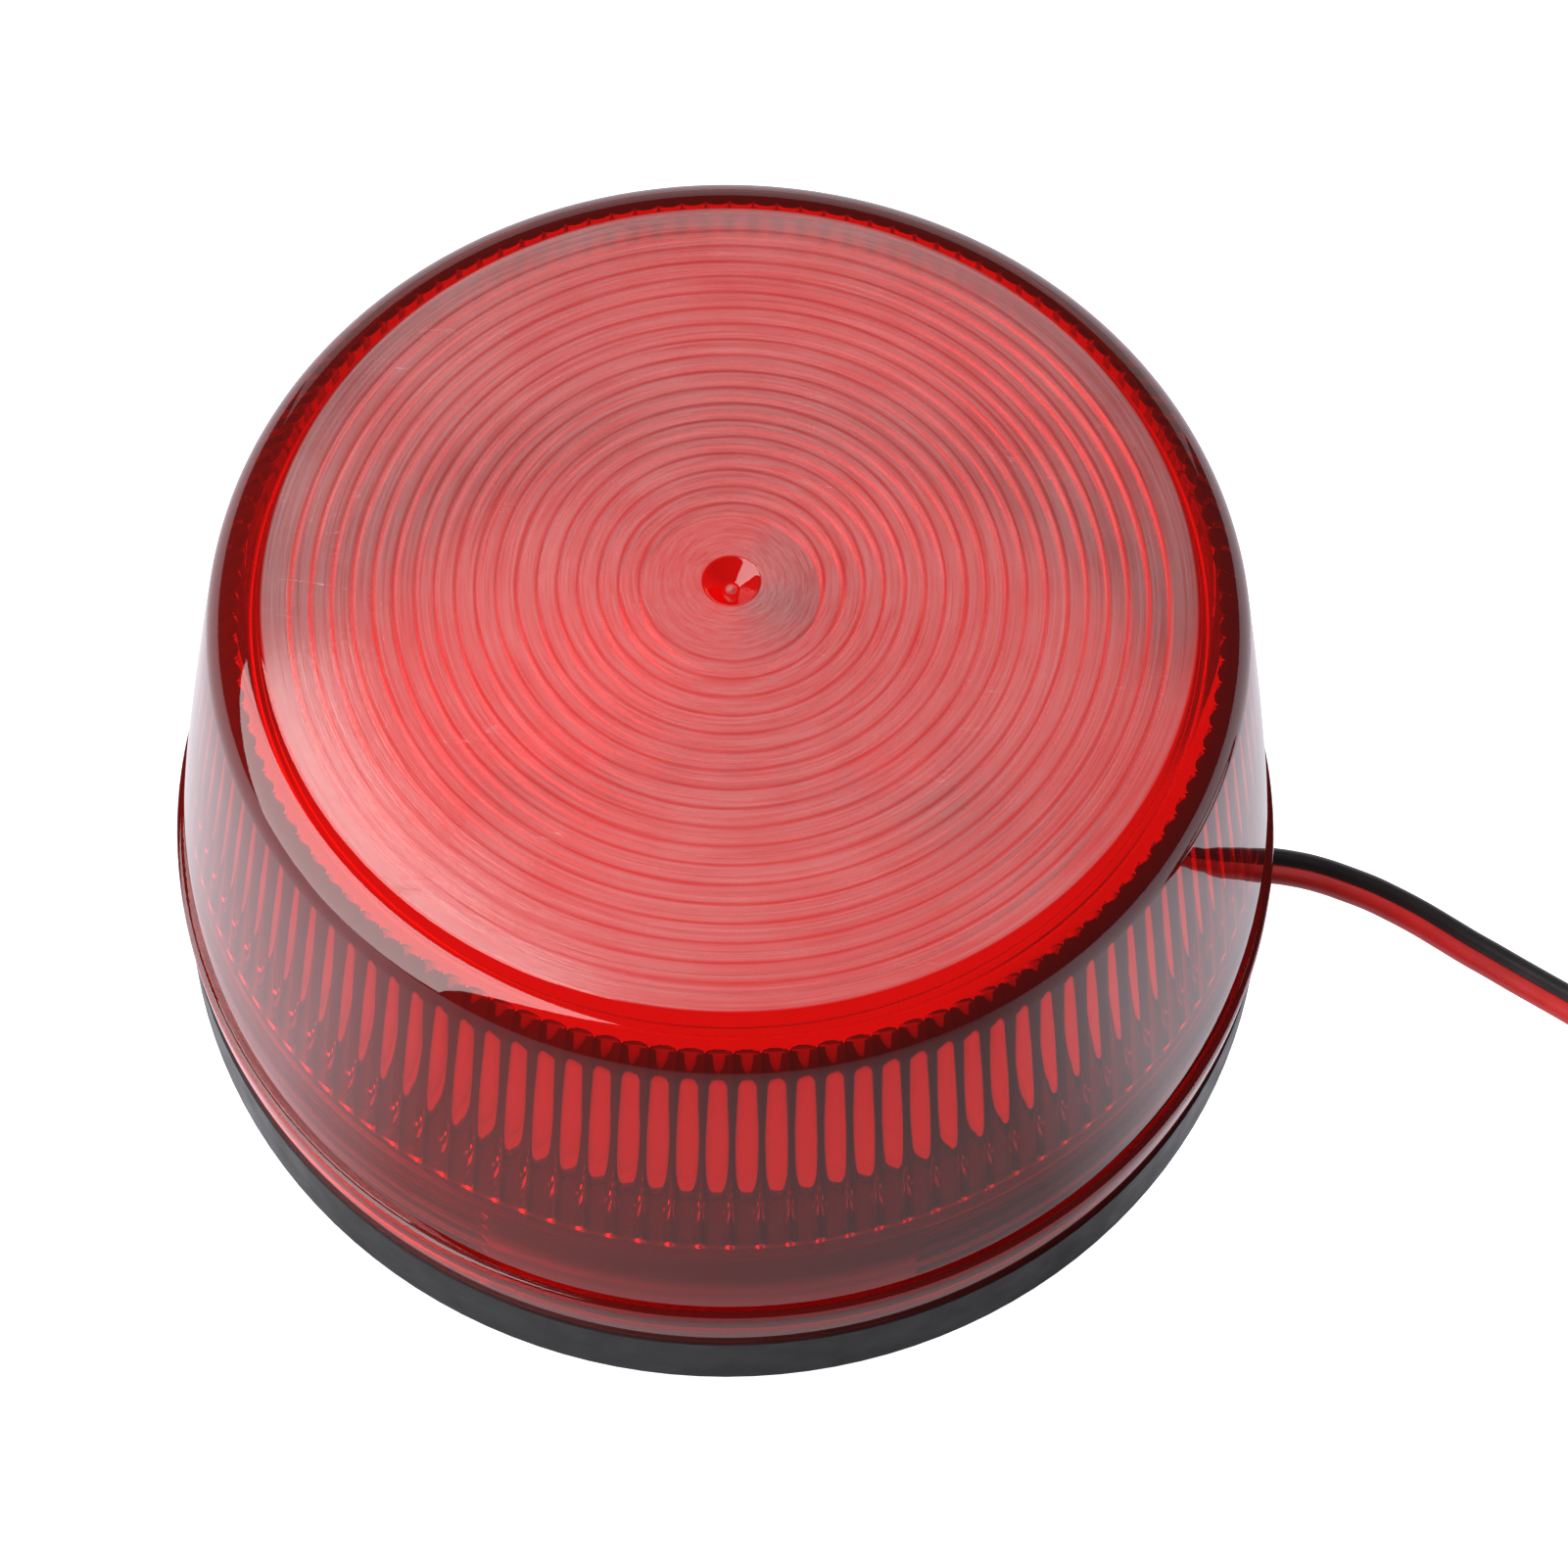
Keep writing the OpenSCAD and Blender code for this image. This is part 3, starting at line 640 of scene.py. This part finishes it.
def inner_rows():
    """Up the bore and the flutes, and in along the ringed underside."""
    rows = [(BORE_R + 0.1, RIM_Z), (BORE_R, RIM_Z + 0.1), (BORE_R, 8.0)]
    rows += thread_rows()
    chamfer_top = BORE_TOP + BORE_CHAMFER_UP
    rows += [(BORE_R, BORE_TOP), (BORE_R - BORE_CHAMFER_IN, chamfer_top)]
    rows += [flute_row(z) for z in (chamfer_top, 20, 27, UNDER_Z - 2)]
    rows.append(flute_row(UNDER_Z - 0.25, FLUTE_TOP_DEPTH))
    rows.append((flute_row(UNDER_Z, FLUTE_TOP_DEPTH)[0] - 0.12, UNDER_Z))
    # a fine ridge and a fine groove run round outside the rings
    for middle, half, rise in ((EDGE_RIDGE_R, 0.08, -0.07), (EDGE_GROOVE_R, 0.04, 0.06)):
        rows += [(middle + half, UNDER_Z), (middle, UNDER_Z + rise), (middle - half, UNDER_Z)]
    rows.append((LAST_RING_R + RING_PITCH, UNDER_Z))
    for i in reversed(range(RINGS)):
        r = RING_START_R + i * RING_PITCH
        rows.append((r + RING_BEAD * 1.2, UNDER_Z + RING_DEPTH))
        rows += [(r + RING_BEAD, UNDER_Z), (r, UNDER_Z - RING_BEAD), (r - RING_BEAD, UNDER_Z)]
    return rows + [(0, UNDER_Z)]


def make_dome():
    top = top_rows()
    rows = top + wall_rows(top[-1]) + inner_rows()
    dome = turned("lens_dome", rows, column_angles(), dome_material(), crease=30)
    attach(dome, "dome")
    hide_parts("dome")


make_dome()

# ---------------------------------------------------------------- floor and light

FLOOR_HALF = 3000
FLOOR_Z = -0.05
FLOOR_GLOW = 0.75
FLOOR_TINT = (0.96, 0.95, 1.04)
# painted shade: the floor's glow is made weaker in a wedge in front of the object, as if the camera and its
# stand kept light off it: the middle of that wedge in degrees, how far to each side it is full and where it
# ends, and the share of the glow that stays in it
FLOOR_SHADE_AZIMUTH = 272
FLOOR_SHADE_FULL = 40
FLOOR_SHADE_END = 60
FLOOR_SHADE_KEEPS = 0.25
# the room's light on surfaces, and as seen through the clear pieces
ROOM_GLOW = 0.07
ROOM_GLOW_THROUGH = 1.15
# azimuth, elevation and lean in degrees, distance and size in metres, and radiance
LAMPS = {
    "key_softbox": {"azimuth": 195, "elevation": 38, "distance": 0.6, "size": (0.54, 0.95), "radiance": 4.4,
                    "lean": 18},
    "top_fill": {"azimuth": 80, "elevation": 65, "distance": 0.9, "size": (0.9, 0.9), "radiance": 2.0,
                 "glossy": False},
    "back_wall": {"azimuth": 90, "elevation": 14, "distance": 0.8, "size": (1.3, 0.4), "radiance": 0.6},
}


def area_light(name, azimuth, elevation, distance, size, radiance, glossy=True, lean=0):
    """A flat lamp that faces the object. One that isn't glossy gives light but shows in no reflection."""
    data = bpy.data.lights.new(name, "AREA")
    data.shape = "RECTANGLE"
    data.size, data.size_y = size
    data.energy = radiance * math.pi * size[0] * size[1]
    light = bpy.data.objects.new(name, data)
    a, e = math.radians(azimuth), math.radians(elevation)
    toward = Vector((math.cos(a) * math.cos(e), math.sin(a) * math.cos(e), math.sin(e)))
    facing = toward.to_track_quat("Z", "Y").to_matrix().to_4x4() @ Matrix.Rotation(math.radians(lean), 4, "Z")
    light.matrix_world = Matrix.Translation(toward * distance) @ facing
    light.visible_glossy = glossy
    light.visible_transmission = glossy
    bpy.context.scene.collection.objects.link(light)


def make_floor():
    """A pale floor that glows, with painted shade in its glow in front of the object, and shows white to the
    camera.
    """
    s = Surface("floor_white", Roughness=0.9)
    s.set("Base Color", s.blend(s.between(s.noise(3.0), 0.0, 1.0), (0.17, 0.17, 0.17), (0.19, 0.19, 0.19)))
    s.set("Emission Color", FLOOR_TINT)
    split = s.node("SeparateXYZ", {0: s.place()})
    azimuth = math.radians(FLOOR_SHADE_AZIMUTH)
    along = s.math("ADD", s.math("MULTIPLY", split.outputs[0], math.cos(azimuth)),
                   s.math("MULTIPLY", split.outputs[1], math.sin(azimuth)))
    share = s.math("DIVIDE", s.math("MULTIPLY", along, 1000.0), s.radius())
    end, full = (math.cos(math.radians(a)) for a in (FLOOR_SHADE_END, FLOOR_SHADE_FULL))
    # painted shade: the glow drops to a share of itself in the wedge in front of the object
    glow = s.between(share, FLOOR_GLOW, FLOOR_GLOW * FLOOR_SHADE_KEEPS, end, full)
    seen = s.node("LightPath").outputs["Is Camera Ray"]
    s.set("Emission Strength", s.math("ADD", glow, seen))
    corners = [(x * FLOOR_HALF, y * FLOOR_HALF, FLOOR_Z) for x, y in ((-1, -1), (1, -1), (1, 1), (-1, 1))]
    floor = add_mesh("floor", corners, [(0, 1, 2, 3)], [s.material])


def make_world():
    """A room that is white to the camera, dim in reflections and bright through the clear pieces."""
    world = bpy.data.worlds.new("world")
    world.use_nodes = True
    tree = world.node_tree
    tree.nodes.clear()
    output = tree.nodes.new("ShaderNodeOutputWorld")
    seen = tree.nodes.new("ShaderNodeBackground")
    seen.inputs[0].default_value = (1, 1, 1, 1)
    around = tree.nodes.new("ShaderNodeBackground")
    around.inputs[0].default_value = (1, 1, 1, 1)
    path = tree.nodes.new("ShaderNodeLightPath")
    level = tree.nodes.new("ShaderNodeMapRange")
    level.inputs["To Min"].default_value = ROOM_GLOW
    level.inputs["To Max"].default_value = ROOM_GLOW_THROUGH
    tree.links.new(path.outputs["Is Transmission Ray"], level.inputs["Value"])
    tree.links.new(level.outputs[0], around.inputs[1])
    mix = tree.nodes.new("ShaderNodeMixShader")
    tree.links.new(path.outputs["Is Camera Ray"], mix.inputs[0])
    tree.links.new(around.outputs[0], mix.inputs[1])
    tree.links.new(seen.outputs[0], mix.inputs[2])
    tree.links.new(mix.outputs[0], output.inputs[0])
    bpy.context.scene.world = world


make_floor()
make_world()
for name, settings in LAMPS.items():
    area_light(name, **settings)
bpy.context.scene.view_settings.view_transform = "Standard"
bpy.context.scene.cycles.caustics_refractive = False
bpy.context.scene.cycles.caustics_reflective = False
bpy.context.scene.cycles.max_bounces = 16
bpy.context.scene.cycles.transmission_bounces = 16
bpy.context.scene.cycles.transparent_max_bounces = 24
